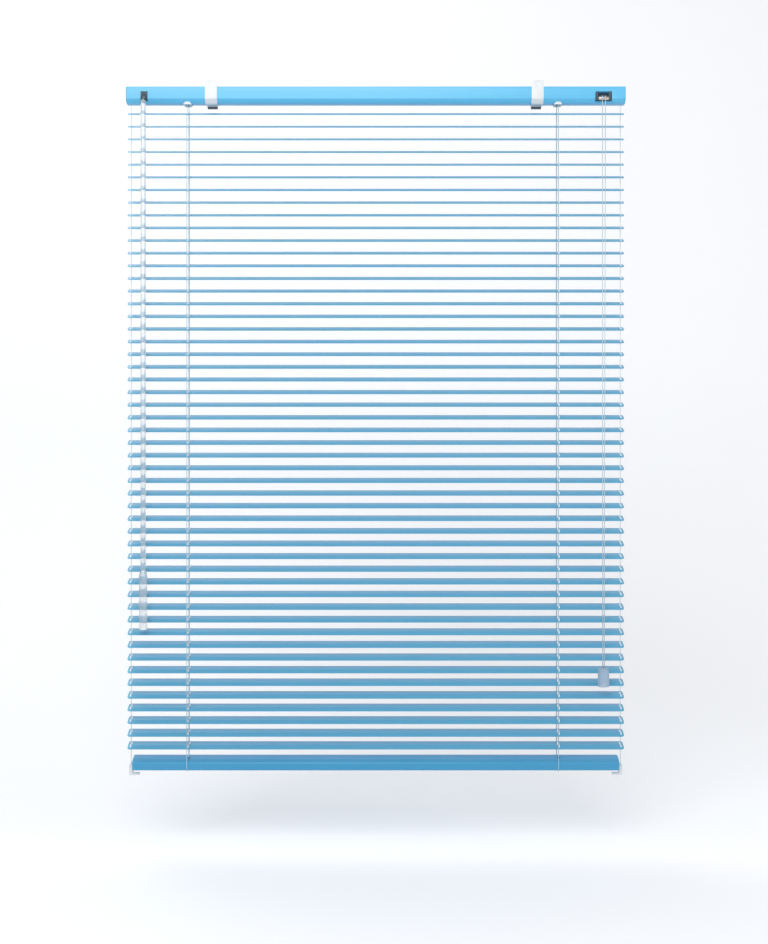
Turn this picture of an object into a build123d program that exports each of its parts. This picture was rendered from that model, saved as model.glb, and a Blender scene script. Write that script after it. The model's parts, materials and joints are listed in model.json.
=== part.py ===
from build123d import *
import os
from math import cos, hypot, pi, radians, sin, tan

# A horizontal aluminium blind, in millimetres.
# X runs along the blind, the room is at -Y, and +Z is up.
# The origin is midway between the two hanger screws, on the wall plane behind them.

# Headrail, a folded steel channel that is open at the top
rail_length = 788.0
rail_depth = 25.0
rail_height = 25.0
rail_wall = 0.6
rail_bevel = 6.0
lip_width = 3.0
lip_drop = 1.8
cap_plate = 1.5
cap_plug = 8.0
cap_setback = 0.15
fit_gap = 0.1

# Places along the headrail, measured from its ends
hanger_inset_left = 134.4
hanger_inset_right = 138.9
ladder_inset_left = 96.5
ladder_inset_right = 106.0
tilter_inset = 29.0
lock_inset = 34.8

# Hangers, steel straps folded round the headrail, each with a locking lug
strap_width = 19.0
strap_thickness = 1.2
tab_height = 10.0
hanger_screw_radius = 2.1
clip_height = 12.0
lug_width = 16.0
lug_depth = 5.0
lug_height = 3.3
lug_rounding = 1.0

# Slats
slat_count = 51
slat_pitch = 20.0
slat_end_gap = 2.0
slat_length = rail_length - 2 * slat_end_gap
slat_width = 25.0
slat_thickness = 0.22
slat_crown = 1.8
slat_corner = 4.0
rest_tilt = 19.0
first_slat_drop = 15.5
route_slot_length = 17.5
route_slot_width = 3.2
guide_slot_length = 15.5
guide_slot_width = 2.2
guide_inset = 4.5

# Ladders, lift cords and guide lines
ladder_cord_radius = 0.6
rung_radius = 0.4
rung_gap = 0.15
ladder_clearance = 1.0
ladder_spread_height = 2.5
ladder_bend_radius = 4.0
ladder_join_height = 6.4
ladder_tail_radius = 6.0
lift_cord_radius = 0.7
lift_cord_offset = 1.4
guide_line_radius = 0.4

# Bottom rail with its caps and ladder buttons
bottom_width = 26.0
bottom_height = 15.0
bottom_corner = 2.5
bottom_crown = 1.0
bottom_wall = 1.0
bottom_inset = 8.0
bottom_cap_plate = 1.5
bottom_cap_plug = 6.0
bottom_drop = 27.3
cord_hole_radius = 2.2
button_radius = 5.5
button_height = 1.6
button_stud_radius = 2.4
wrap_gap = 0.05

# Lower brackets that hold the guide lines
post_width = 5.0
post_depth = 9.0
post_height = 14.0
foot_length = 15.5
foot_thickness = 2.8
foot_clearance = 1.2
foot_screw_radius = 1.7
foot_screw_inset = 12.5

# Tilt shaft and its drums
shaft_across_flats = 4.5
shaft_drop = 13.0
shaft_overhang = 14.0
drum_radius = 6.0
drum_width = 11.0
rim_height = 0.8
rim_width = 1.0
hub_radius = 3.95
running_gap = 0.05
side_plate = 2.0
plate_gap = 0.6
plate_head = 2.5

# Worm drive
wheel_teeth = 20
wheel_pitch_radius = 5.5
wheel_width = 2.4
tooth_height = 0.5
tooth_width = 0.6
flank_angle = 20.0
worm_pitch_radius = 2.2
worm_turns = 4
mesh_gap = 0.1
stem_lean = 40.0
stem_radius = 1.8
stem_pin_radius = 1.2
stem_pin_length = 4.1
thread_overrun = 0.8
neck_radius = 1.3
stem_reach = 22.0
ball_radius = 2.6

# Tilter housing, its collar and the openings in the headrail's front
tilter_opening_width = 11.0
opening_top = 7.5
opening_bottom = 22.5
tilter_width = 15.0
tilter_cavity = 8.0
housing_roof = 3.0
housing_wall = 1.6
bearing_block = 4.0
bearing_thickness = 2.4
collar_radius = 3.6
collar_start = 4.8
collar_end = 12.4

# Wand
socket_gap = 0.08
socket_wall = 1.6
socket_rim = 0.8
wand_across_flats = 7.2
wand_bottom_drop = 855.0
grip_length = 96.0
grip_radius = 6.3
grip_shoulder = 10.0
grip_rounding = 1.5

# Cord lock and its roller
lock_opening_width = 26.0
lock_length = 29.0
lock_floor = 2.0
cheek_spacing = 18.0
cheek_thickness = 2.5
cheek_setback = 0.8
lock_wall_y = 9.2
lock_wall = 2.0
lock_window_width = 12.0
lock_window_height = 5.0
roller_radius = 3.0
roller_length = 16.0
roller_front = 1.5
roller_drop = 18.5
pin_radius = 1.0

# Pull cords and tassel
pull_cord_spacing = 4.6
tassel_cord_spacing = 2.4
tassel_shift = -2.0
tassel_slat_gap = 0.6
tassel_drop = 914.0
tassel_length = 30.0
tassel_top_radius = 3.4
tassel_waist_radius = 7.2
tassel_waist_drop = 12.0
tassel_radius = 9.0
tassel_bell_drop = 24.0
tassel_foot_radius = 8.4
tassel_wall = 1.6
tassel_top = 3.0
tassel_hole_radius = 2.3
knot_radius = 2.7

# Cradles that carry the drums, with the outlets under the headrail
cradle_floor = 1.5
outlet_length = 17.4
outlet_width = 8.4
outlet_wall = 1.0
outlet_flange = 2.0
flange_width = 12.0
cord_window_width = 8.0
cord_window_height = 3.2
cord_window_shift = 2.4

# Where the lift cords run inside the headrail
cord_run_start = 26.0
cord_run_y = (16.5, 14.5)
cord_bend_radius = 3.0
cord_slat_clearance = 5.0
cord_entry_height = 4.0
cord_entry_radius = 4.2

# Heights and places that follow from the driving values
rail_top = -tab_height / 2
rail_bottom = rail_top - rail_height
bevel_top = rail_bottom + rail_bevel
channel_floor = rail_bottom + rail_wall
interior_roof = rail_top - housing_roof
middle_y = rail_depth / 2
hanger_span = rail_length - hanger_inset_left - hanger_inset_right
hanger_x = (-hanger_span / 2, hanger_span / 2)
rail_left = -hanger_span / 2 - hanger_inset_left
rail_right = rail_left + rail_length
centre_x = (rail_left + rail_right) / 2
slat_left = centre_x - slat_length / 2
slat_right = centre_x + slat_length / 2
ladder_x = (rail_left + ladder_inset_left, rail_right - ladder_inset_right)
tilter_x = rail_left + tilter_inset
lock_x = rail_right - lock_inset
shaft_z = rail_top - shaft_drop
first_slat_z = rail_bottom - first_slat_drop
last_slat_z = first_slat_z - slat_pitch * (slat_count - 1)
bottom_z = last_slat_z - bottom_drop
ladder_half = slat_width / 2 + ladder_clearance
rung_level = -(rung_gap + rung_radius)
tilt = radians(rest_tilt)
rail_outline = (
    (0, rail_top),
    (0, bevel_top),
    (rail_bevel, rail_bottom),
    (rail_depth - rail_bevel, rail_bottom),
    (rail_depth, bevel_top),
    (rail_depth, rail_top),
)


def save(part, name):
    """Label a finished piece and write its STEP file."""
    part.label = name
    export_step(part, f"parts/{name}.step")


def channel_filling(roof):
    """Draw the section that fills the channel, clear of its walls, up to a roof height."""
    Polygon(*rail_outline, align=None)
    offset(amount=-(rail_wall + fit_gap), kind=Kind.INTERSECTION, mode=Mode.REPLACE)
    with Locations((middle_y, roof + rail_height / 2)):
        Rectangle(rail_depth, rail_height, mode=Mode.SUBTRACT)


def tilted(across, up, height):
    """Turn a place on a tilted slat or rail, from its own axis, into Y and Z."""
    y = middle_y + across * cos(tilt) - up * sin(tilt)
    return y, height + across * sin(tilt) + up * cos(tilt)


def cord(points, corner_radii, radius):
    """Sweep a round cord along straight runs joined by arcs."""
    with BuildPart() as cord_part:
        with BuildLine() as route:
            FilletPolyline(*points, radius=corner_radii)
        with BuildSketch(Plane(origin=route.line @ 0, z_dir=route.line % 0)):
            Circle(radius)
        sweep()
    return cord_part.part


os.makedirs("parts", exist_ok=True)

# Headrail with its lips, front openings and outlet holes
with BuildPart() as channel:
    with BuildSketch(Plane.YZ.offset(rail_left + cap_plate)):
        Polygon(*rail_outline, align=None)
        offset(amount=-rail_wall, kind=Kind.INTERSECTION, mode=Mode.SUBTRACT)
        with Locations((middle_y, rail_top)):
            Rectangle(rail_depth - 2 * lip_width, 4 * rail_wall, mode=Mode.SUBTRACT)
        for lip_y in (lip_width - rail_wall / 2, rail_depth - lip_width + rail_wall / 2):
            with Locations((lip_y, rail_top - lip_drop / 2)):
                Rectangle(rail_wall, lip_drop)
    extrude(amount=rail_length - 2 * cap_plate)
    for x, width in ((tilter_x, tilter_opening_width), (lock_x, lock_opening_width)):
        with Locations((x, 0, rail_top - (opening_top + opening_bottom) / 2)):
            Box(width, 2 * (rail_bevel - rail_wall), opening_bottom - opening_top, mode=Mode.SUBTRACT)
    for x in ladder_x:
        with Locations((x, middle_y, rail_bottom)):
            Box(outlet_width, outlet_length, rail_bevel, mode=Mode.SUBTRACT)

with BuildPart() as end_caps:
    for plate_x, plug_x in (
        (rail_left, rail_left + cap_plate),
        (rail_right - cap_plate, rail_right - cap_plate - cap_plug),
    ):
        with BuildSketch(Plane.YZ.offset(plate_x)):
            Polygon(*rail_outline, align=None)
            offset(amount=-cap_setback, kind=Kind.INTERSECTION, mode=Mode.REPLACE)
        extrude(amount=cap_plate)
        with BuildSketch(Plane.YZ.offset(plug_x)):
            channel_filling(rail_top - lip_drop - fit_gap)
        extrude(amount=cap_plug)

save(Compound(children=[channel.part, end_caps.part]), "headrail")

# Hangers: tab, front leg, and the fold under and up behind the headrail
with BuildPart() as hangers:
    for x in hanger_x:
        with BuildSketch(Plane.YZ.offset(x - strap_width / 2)):
            with BuildLine():
                inner_face = Polyline(
                    (0, rail_top + tab_height),
                    (0, bevel_top),
                    (rail_bevel, rail_bottom),
                    (rail_depth - rail_bevel, rail_bottom),
                    (rail_depth, bevel_top),
                    (rail_depth, rail_bottom + clip_height),
                )
                offset(inner_face, amount=strap_thickness, side=Side.RIGHT, kind=Kind.INTERSECTION)
            make_face()
        extrude(amount=strap_width)
        with Locations(Location((x, 0, 0), (90, 0, 0))):
            Cylinder(hanger_screw_radius, 4 * strap_thickness, mode=Mode.SUBTRACT)

with BuildPart() as lugs:
    for x in hanger_x:
        with Locations((x, rail_depth - lug_depth, rail_bottom - strap_thickness)):
            Box(lug_width, lug_depth, lug_height, align=(Align.CENTER, Align.MIN, Align.MAX))
    fillet(lugs.edges().filter_by(Axis.X).group_by(Axis.Z)[0], lug_rounding)

# Lower brackets: an upright post at each end of the bottom rail and a foot below it
foot_top = bottom_z - hypot(bottom_width, bottom_height) / 2 - foot_clearance
foot_bottom = foot_top - foot_thickness
post_top = foot_top + post_height
on_floor = (Align.CENTER, Align.CENTER, Align.MIN)
with BuildPart() as lower_brackets:
    for end_x, inward in ((slat_left, 1), (slat_right, -1)):
        foot_middle = end_x + inward * (guide_inset - post_width / 2 + foot_length / 2)
        with Locations((foot_middle, middle_y, foot_bottom)):
            Box(foot_length, post_depth, foot_thickness, align=on_floor)
        with Locations((end_x + inward * guide_inset, middle_y, foot_bottom)):
            Box(post_width, post_depth, foot_thickness + post_height, align=on_floor)
        with Locations((end_x + inward * foot_screw_inset, middle_y, foot_bottom)):
            Cylinder(foot_screw_radius, 3 * foot_thickness, mode=Mode.SUBTRACT)

save(Compound(children=[hangers.part, lugs.part, lower_brackets.part]), "brackets")

# Worm drive: the stem leans towards the room, and its ball carries the wand
lean = radians(stem_lean)
stem_up = Vector(0, sin(lean), cos(lean))
to_wheel = Vector(0, cos(lean), -sin(lean))
wheel_centre = Vector(tilter_x, middle_y, shaft_z)
worm_centre = wheel_centre - to_wheel * (wheel_pitch_radius + worm_pitch_radius)
stem_plane = Plane(origin=worm_centre, x_dir=to_wheel, z_dir=stem_up)
ball_centre = worm_centre - stem_up * stem_reach
tooth_pitch = 2 * pi * wheel_pitch_radius / wheel_teeth
flank = tan(radians(flank_angle))
wheel_tip = wheel_pitch_radius + tooth_height
wheel_root = wheel_pitch_radius - tooth_height - mesh_gap
worm_tip = worm_pitch_radius + tooth_height
worm_root = worm_pitch_radius - tooth_height - mesh_gap
worm_half = worm_turns * tooth_pitch / 2

with BuildPart() as thread:
    with BuildLine() as thread_route:
        Helix(tooth_pitch, 2 * worm_half, worm_root, center=(0, 0, -worm_half))
    start = Plane(origin=thread_route.line @ 0, x_dir=(1, 0, 0), z_dir=thread_route.line % 0)
    with BuildSketch(start):
        crest = tooth_width / 2 - tooth_height * flank
        foot = tooth_width / 2 + (tooth_height + mesh_gap) * flank
        Polygon(
            (-mesh_gap, -foot),
            (worm_tip - worm_root, -crest),
            (worm_tip - worm_root, crest),
            (-mesh_gap, foot),
            align=None,
        )
    sweep(is_frenet=True)

with BuildPart() as stem:
    with BuildSketch(stem_plane.offset(-collar_start)):
        Circle(worm_root)
    extrude(amount=collar_start + worm_half)
    with BuildSketch(stem_plane.offset(worm_half)):
        Circle(stem_pin_radius)
    extrude(amount=stem_pin_length)
    with BuildSketch(stem_plane.offset(-collar_end)):
        Circle(stem_radius)
    extrude(amount=collar_end - collar_start)
    with BuildSketch(stem_plane.offset(-stem_reach)):
        Circle(neck_radius)
    extrude(amount=stem_reach - collar_end)
    with Locations(ball_centre):
        Sphere(ball_radius)
    add(thread.part.moved(stem_plane.location))

save(stem.part, "tilter_stem")

# Tilt shaft, worm wheel and drums
with BuildPart() as shaft:
    with BuildSketch(Plane.YZ.offset(tilter_x - tilter_width / 2 - side_plate)) as shaft_section:
        with Locations((middle_y, shaft_z)):
            RegularPolygon(shaft_across_flats / 2, 6, major_radius=False)
    extrude(amount=ladder_x[1] + shaft_overhang - tilter_x + tilter_width / 2 + side_plate)

with BuildPart() as wheel:
    with BuildSketch(Plane.YZ.offset(tilter_x - wheel_width / 2)):
        with Locations((middle_y, shaft_z)):
            Circle(wheel_tip)
            with PolarLocations(0, wheel_teeth, start_angle=180 - stem_lean):
                gap = (tooth_pitch - tooth_width) / 2
                Polygon(
                    (wheel_root, -(gap - (wheel_pitch_radius - wheel_root) * flank)),
                    (wheel_tip + mesh_gap, -(gap + (tooth_height + mesh_gap) * flank)),
                    (wheel_tip + mesh_gap, gap + (tooth_height + mesh_gap) * flank),
                    (wheel_root, gap - (wheel_pitch_radius - wheel_root) * flank),
                    align=None,
                    mode=Mode.SUBTRACT,
                )
    extrude(amount=wheel_width)
    with Locations(Location(wheel_centre, (0, 90, 0))):
        Cylinder(hub_radius, tilter_width)
    add(shaft.part, mode=Mode.SUBTRACT)

plate_outside = drum_width / 2 + plate_gap + side_plate
with BuildPart() as drums:
    for x in ladder_x:
        with Locations(Location((x, middle_y, shaft_z), (0, 90, 0))):
            Cylinder(drum_radius, drum_width)
            Cylinder(hub_radius, 2 * plate_outside)
        for rim_x in (x - (drum_width - rim_width) / 2, x + (drum_width - rim_width) / 2):
            with Locations(Location((rim_x, middle_y, shaft_z), (0, 90, 0))):
                Cylinder(drum_radius + rim_height, rim_width)
    add(shaft.part, mode=Mode.SUBTRACT)

save(Compound(children=[shaft.part, wheel.part, drums.part]), "tilt_shaft")

# Tilter housing: two side walls on a floor, an upper bearing and a collar in the opening
with BuildPart() as housing:
    with BuildSketch(Plane.YZ.offset(tilter_x - tilter_width / 2)):
        channel_filling(interior_roof)
        with Locations((middle_y, shaft_z)):
            Circle(hub_radius + running_gap, mode=Mode.SUBTRACT)
    extrude(amount=tilter_width)
    with BuildSketch(Plane.YZ.offset(tilter_x - tilter_cavity / 2)):
        channel_filling(interior_roof)
        offset(amount=-housing_wall, kind=Kind.INTERSECTION, mode=Mode.REPLACE)
        with Locations((middle_y, interior_roof)):
            Rectangle(rail_depth - 2 * lip_width, 4 * housing_wall)
    extrude(amount=tilter_cavity, mode=Mode.SUBTRACT)
    with BuildSketch(stem_plane.offset(worm_half + thread_overrun)):
        Rectangle(bearing_block, tilter_cavity + 2 * fit_gap)
    extrude(amount=bearing_thickness)
    with BuildSketch(stem_plane.offset(-collar_end)):
        Circle(collar_radius)
    extrude(amount=collar_end - collar_start)
    with BuildSketch(stem_plane.offset(worm_half)):
        Circle(stem_pin_radius + running_gap)
    extrude(amount=2 * stem_pin_length, mode=Mode.SUBTRACT)
    with BuildSketch(stem_plane.offset(-collar_end)):
        Circle(stem_radius + running_gap)
    extrude(amount=collar_end - collar_start, mode=Mode.SUBTRACT)

# Cradles: two plates that carry a drum's hubs, a floor and the outlet through the headrail
cradle_top = channel_floor + fit_gap + cradle_floor
with BuildPart() as cradles:
    for x in ladder_x:
        for plate_x in (x - plate_outside, x + plate_outside - side_plate):
            with BuildSketch(Plane.YZ.offset(plate_x)):
                channel_filling(shaft_z + hub_radius + plate_head)
                with Locations((middle_y, shaft_z)):
                    Circle(hub_radius + running_gap, mode=Mode.SUBTRACT)
                with Locations((middle_y + cord_window_shift, cradle_top + cord_window_height / 2)):
                    Rectangle(cord_window_width, cord_window_height, mode=Mode.SUBTRACT)
            extrude(amount=side_plate)
        with BuildSketch(Plane.YZ.offset(x - plate_outside)):
            channel_filling(cradle_top)
        extrude(amount=2 * plate_outside)
        with Locations((x, middle_y, rail_bottom)):
            Box(
                outlet_width - 2 * fit_gap,
                outlet_length - 2 * fit_gap,
                cradle_top - rail_bottom,
                align=on_floor,
            )
        with Locations((x, middle_y, rail_bottom - outlet_flange)):
            Box(flange_width, outlet_length - 2 * fit_gap, outlet_flange, align=on_floor)
            Box(
                outlet_width - 2 * fit_gap - 2 * outlet_wall,
                outlet_length - 2 * fit_gap - 2 * outlet_wall,
                outlet_flange + cradle_top - rail_bottom,
                align=on_floor,
                mode=Mode.SUBTRACT,
            )

# Cord lock: cheeks and a rear wall on a floor, with the roller and its pin
roller_y = roller_radius - roller_front
roller_z = rail_top - roller_drop
cheek_top = rail_top - opening_top - fit_gap
cheek_bottom = rail_top - opening_bottom + fit_gap
with BuildPart() as lock_body:
    with BuildSketch(Plane.YZ.offset(lock_x - lock_length / 2)):
        channel_filling(channel_floor + lock_floor)
    extrude(amount=lock_length)
    with Locations((lock_x, lock_wall_y, channel_floor + fit_gap)):
        Box(
            lock_length,
            lock_wall,
            cheek_top - channel_floor - fit_gap,
            align=(Align.CENTER, Align.MIN, Align.MIN),
        )
    for cheek_x in (-(cheek_spacing + cheek_thickness) / 2, (cheek_spacing + cheek_thickness) / 2):
        with Locations((lock_x + cheek_x, -cheek_setback, cheek_bottom)):
            Box(
                cheek_thickness,
                lock_wall_y + cheek_setback,
                cheek_top - cheek_bottom,
                align=(Align.CENTER, Align.MIN, Align.MIN),
            )
    with Locations((lock_x, lock_wall_y + lock_wall / 2, roller_z + roller_radius + lift_cord_radius)):
        Box(lock_window_width, 2 * lock_wall, lock_window_height, mode=Mode.SUBTRACT)
    with Locations(Location((lock_x, roller_y, roller_z), (0, 90, 0))):
        Cylinder(pin_radius, cheek_spacing + 2 * cheek_thickness)

with BuildPart() as roller:
    with Locations(Location((lock_x, roller_y, roller_z), (0, 90, 0))):
        Cylinder(roller_radius, roller_length)
        Cylinder(pin_radius + running_gap, roller_length, mode=Mode.SUBTRACT)

save(Compound(children=[housing.part, cradles.part, lock_body.part, roller.part]), "headrail_fittings")

# Wand: a socket on the stem's ball, a hexagonal rod and a grip
socket_inner = ball_radius + socket_gap
socket_outer = socket_inner + socket_wall
wand_bottom_z = rail_top - wand_bottom_drop
rod_top_z = ball_centre.Z - socket_inner - socket_wall / 2
grip_top_z = wand_bottom_z + grip_length
with BuildPart() as wand:
    with Locations(ball_centre):
        Sphere(socket_outer)
    with BuildSketch(Plane(origin=(ball_centre.X, ball_centre.Y, wand_bottom_z))):
        RegularPolygon(wand_across_flats / 2, 6, major_radius=False)
    extrude(amount=rod_top_z - wand_bottom_z)
    with Locations((ball_centre.X, ball_centre.Y, wand_bottom_z)):
        Cylinder(grip_radius, grip_length - grip_shoulder, align=on_floor)
    with Locations((ball_centre.X, ball_centre.Y, grip_top_z - grip_shoulder)):
        Cone(grip_radius, wand_across_flats / 2, grip_shoulder, align=on_floor)
    fillet(wand.faces().sort_by(Axis.Z)[0].edges(), grip_rounding)
    with Locations(ball_centre):
        Sphere(socket_inner, mode=Mode.SUBTRACT)
    with Locations(ball_centre + Vector(0, 0, socket_rim)):
        Cylinder(2 * socket_outer, 2 * socket_outer, align=on_floor, mode=Mode.SUBTRACT)

save(wand.part, "wand")

# Slat: a crowned strip with rounded corners, made once and placed at every rung
slat_half = slat_width / 2
slat_radius = (slat_half**2 + slat_crown**2) / (2 * slat_crown)
edge_lift = slat_thickness * (slat_radius - slat_crown) / slat_radius
edge_spread = slat_thickness * slat_half / slat_radius
with BuildPart() as slat:
    with BuildSketch(Plane.YZ.offset(-slat_length / 2)):
        with BuildLine():
            ThreePointArc((-slat_half, 0), (0, slat_crown), (slat_half, 0))
            Line((slat_half, 0), (slat_half + edge_spread, edge_lift))
            ThreePointArc(
                (slat_half + edge_spread, edge_lift),
                (0, slat_crown + slat_thickness),
                (-slat_half - edge_spread, edge_lift),
            )
            Line((-slat_half - edge_spread, edge_lift), (-slat_half, 0))
        make_face()
    extrude(amount=slat_length)
    with BuildSketch(Plane.XY.offset(-slat_crown)):
        RectangleRounded(slat_length, slat_width + 2 * edge_spread, slat_corner)
        for x in ladder_x:
            with Locations((x - centre_x + lift_cord_offset, 0)):
                SlotOverall(route_slot_length, route_slot_width, rotation=90, mode=Mode.SUBTRACT)
        for x in (slat_left + guide_inset, slat_right - guide_inset):
            with Locations((x - centre_x, 0)):
                SlotOverall(guide_slot_length, guide_slot_width, rotation=90, mode=Mode.SUBTRACT)
    extrude(amount=4 * slat_crown, mode=Mode.INTERSECT)

for number in range(slat_count):
    place = Location((centre_x, middle_y, first_slat_z - slat_pitch * number), (rest_tilt, 0, 0))
    save(slat.part.moved(place), f"slat_{number + 1:02d}")

# Bottom rail with end caps and the buttons that hold the ladders, made level and then tilted
bottom_length = slat_length - 2 * bottom_inset
shell_length = bottom_length - 2 * bottom_cap_plate
button_x = [x - centre_x for x in ladder_x]


def bottom_section(inset, mode):
    """Draw the bottom rail's section, set in from the outside: rounded corners, crowned top."""
    flat_half = bottom_width / 2 - bottom_corner
    crown_radius = (flat_half**2 + bottom_crown**2) / (2 * bottom_crown)
    crown_centre = bottom_height / 2 + bottom_crown - crown_radius
    block = RectangleRounded(
        bottom_width - 2 * inset, bottom_height - 2 * inset, bottom_corner - inset, mode=Mode.PRIVATE
    )
    crown = Pos(0, crown_centre) * Circle(crown_radius - inset, mode=Mode.PRIVATE)
    band = Pos(0, bottom_height / 2) * Rectangle(2 * flat_half, bottom_height, mode=Mode.PRIVATE)
    add(block + (crown & band), mode=mode)


with BuildPart() as bottom_shell:
    with BuildSketch(Plane.YZ.offset(-shell_length / 2)):
        bottom_section(0, Mode.ADD)
        bottom_section(bottom_wall, Mode.SUBTRACT)
    extrude(amount=shell_length)
    for x in button_x:
        with Locations((x + lift_cord_offset, 0, bottom_height / 2)):
            Cylinder(cord_hole_radius, 4 * bottom_wall, mode=Mode.SUBTRACT)
        with Locations((x, 0, -bottom_height / 2)):
            Cylinder(button_stud_radius + fit_gap, 4 * bottom_wall, mode=Mode.SUBTRACT)

with BuildPart() as bottom_caps:
    for plate_x, plug_x in (
        (-bottom_length / 2, -shell_length / 2),
        (shell_length / 2, shell_length / 2 - bottom_cap_plug),
    ):
        with BuildSketch(Plane.YZ.offset(plate_x)):
            bottom_section(cap_setback, Mode.ADD)
        extrude(amount=bottom_cap_plate)
        with BuildSketch(Plane.YZ.offset(plug_x)):
            bottom_section(bottom_wall + fit_gap, Mode.ADD)
        extrude(amount=bottom_cap_plug)

with BuildPart() as buttons:
    for x in button_x:
        with Locations((x, 0, -bottom_height / 2)):
            Cylinder(button_radius, button_height, align=(Align.CENTER, Align.CENTER, Align.MAX))
            Cylinder(button_stud_radius, 2 * bottom_wall, align=on_floor)

bottom_place = Location((centre_x, middle_y, bottom_z), (rest_tilt, 0, 0))
bottom_pieces = [piece.part.moved(bottom_place) for piece in (bottom_shell, bottom_caps, buttons)]
save(Compound(children=bottom_pieces), "bottom_rail")

# Ladders: a front and a rear cord with a rung under every slat
wrap = bottom_width / 2 + ladder_cord_radius + wrap_gap
wrap_below = -(bottom_height / 2 + ladder_cord_radius + wrap_gap)
ladders = []
for x in ladder_x:
    with BuildPart() as ladder:
        for side in (-1, 1):
            outlet_y = middle_y + side * (drum_radius + ladder_cord_radius)
            cord_y = tilted(side * ladder_half, rung_level, first_slat_z)[0]
            slat_edge_z = tilted(side * slat_half, 0, first_slat_z)[1]
            places = (
                (outlet_y, shaft_z),
                (outlet_y, rail_bottom - outlet_flange),
                (cord_y, slat_edge_z + ladder_spread_height),
                tilted(side * ladder_half, rung_level, last_slat_z),
                tilted(side * wrap, ladder_join_height, bottom_z),
                tilted(side * wrap, wrap_below, bottom_z),
                tilted(side * (button_radius + wrap_gap), wrap_below, bottom_z),
            )
            radii = (
                ladder_bend_radius,
                ladder_bend_radius,
                ladder_tail_radius,
                ladder_bend_radius,
                bottom_corner + ladder_cord_radius,
            )
            add(cord([(x, y, z) for y, z in places], radii, ladder_cord_radius))
        rung_places = []
        for number in range(slat_count):
            y, z = tilted(0, rung_level, first_slat_z - slat_pitch * number)
            rung_places.append(Location((x, y, z), (90 + rest_tilt, 0, 0)))
        with Locations(*rung_places):
            Cylinder(rung_radius, 2 * ladder_half)
    ladders.append(ladder.part)

# Lift cords: over the lock's roller, along the headrail and down through the slats
cord_z = roller_z + roller_radius + lift_cord_radius
front_y = roller_y - roller_radius - lift_cord_radius
run_z = cradle_top + cord_window_height / 2
lift_cords = []
for x, run_y, side in zip(ladder_x, cord_run_y, (1, -1)):
    cord_x = lock_x + side * pull_cord_spacing / 2
    drop_x = x + lift_cord_offset
    points = (
        (cord_x, front_y, roller_z),
        (cord_x, front_y, cord_z),
        (cord_x, run_y, cord_z),
        (lock_x - cord_run_start, run_y, run_z),
        (drop_x, middle_y, run_z),
        (drop_x, middle_y, last_slat_z - cord_slat_clearance),
        (drop_x, *tilted(0, bottom_height / 2 + cord_entry_height, bottom_z)),
        (drop_x, middle_y, bottom_z),
    )
    wrap_radius = roller_radius + lift_cord_radius - wrap_gap
    radii = (
        wrap_radius,
        cord_bend_radius,
        2 * cord_bend_radius,
        cord_bend_radius,
        cord_entry_radius,
        cord_entry_radius,
    )
    lift_cords.append(cord(points, radii, lift_cord_radius))

# Guide lines, stretched from the headrail to the lower brackets
with BuildPart() as guide_lines:
    for x in (slat_left + guide_inset, slat_right - guide_inset):
        with Locations((x, middle_y, post_top)):
            Cylinder(guide_line_radius, rail_bottom - post_top, align=on_floor)

save(Compound(children=[*ladders, *lift_cords, guide_lines.part]), "ladders")

# Pull cords, hanging from the roller to a knot inside the tassel, in front of the slats
tassel_x = lock_x + tassel_shift
tassel_y = -tassel_radius - tassel_slat_gap
tassel_z = rail_top - tassel_drop
knot_z = tassel_z - tassel_top - knot_radius
with BuildPart() as pull_cords:
    for side in (-1, 1):
        top = Vector(lock_x + side * pull_cord_spacing / 2, front_y, roller_z)
        end = Vector(tassel_x + side * tassel_cord_spacing / 2, tassel_y, knot_z)
        with BuildSketch(Plane(origin=end, z_dir=top - end)):
            Circle(lift_cord_radius)
        extrude(amount=(top - end).length)
    with Locations((tassel_x, tassel_y, knot_z)):
        Sphere(knot_radius)

with BuildPart() as tassel:
    with BuildSketch(Plane.XZ):
        with BuildLine():
            ThreePointArc(
                (tassel_top_radius, 0),
                (tassel_waist_radius, -tassel_waist_drop),
                (tassel_radius, -tassel_bell_drop),
            )
            Line((tassel_radius, -tassel_bell_drop), (tassel_foot_radius, -tassel_length))
            Line((tassel_foot_radius, -tassel_length), (tassel_foot_radius - tassel_wall, -tassel_length))
            Line(
                (tassel_foot_radius - tassel_wall, -tassel_length),
                (tassel_radius - tassel_wall, -tassel_bell_drop),
            )
            ThreePointArc(
                (tassel_radius - tassel_wall, -tassel_bell_drop),
                (tassel_waist_radius - tassel_wall, -tassel_waist_drop),
                (tassel_top_radius, -tassel_top),
            )
            Line((tassel_hole_radius, 0), (tassel_top_radius, 0))
            Line((tassel_top_radius, -tassel_top), (tassel_hole_radius, -tassel_top))
            Line((tassel_hole_radius, -tassel_top), (tassel_hole_radius, 0))
        make_face()
    revolve(axis=Axis.Z)
tassel_part = tassel.part.moved(Location((tassel_x, tassel_y, tassel_z)))

save(Compound(children=[pull_cords.part, tassel_part]), "pull_cord")

print("hanger screws apart", hanger_span)
print("foot screws apart", slat_length - 2 * foot_screw_inset)
print("lift cord bend radii", radii)
print("pull cord length", (top - end).length)
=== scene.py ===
# %% [markdown]
# # A horizontal aluminium blind
# The model arrives from the CAD as sixty nodes, and each slat, rail and shaft rides on its own body.
# This lesson dresses that frame: it keeps every form and size, and adds finer meshes, cords and
# finishes. Everything is in metres. X runs along the blind, the room is at -Y, and +Z is up.

# %% Load the frame
import json
from math import cos, hypot, pi, radians, sin

import bmesh
import bpy
from mathutils import Matrix, Vector


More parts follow.
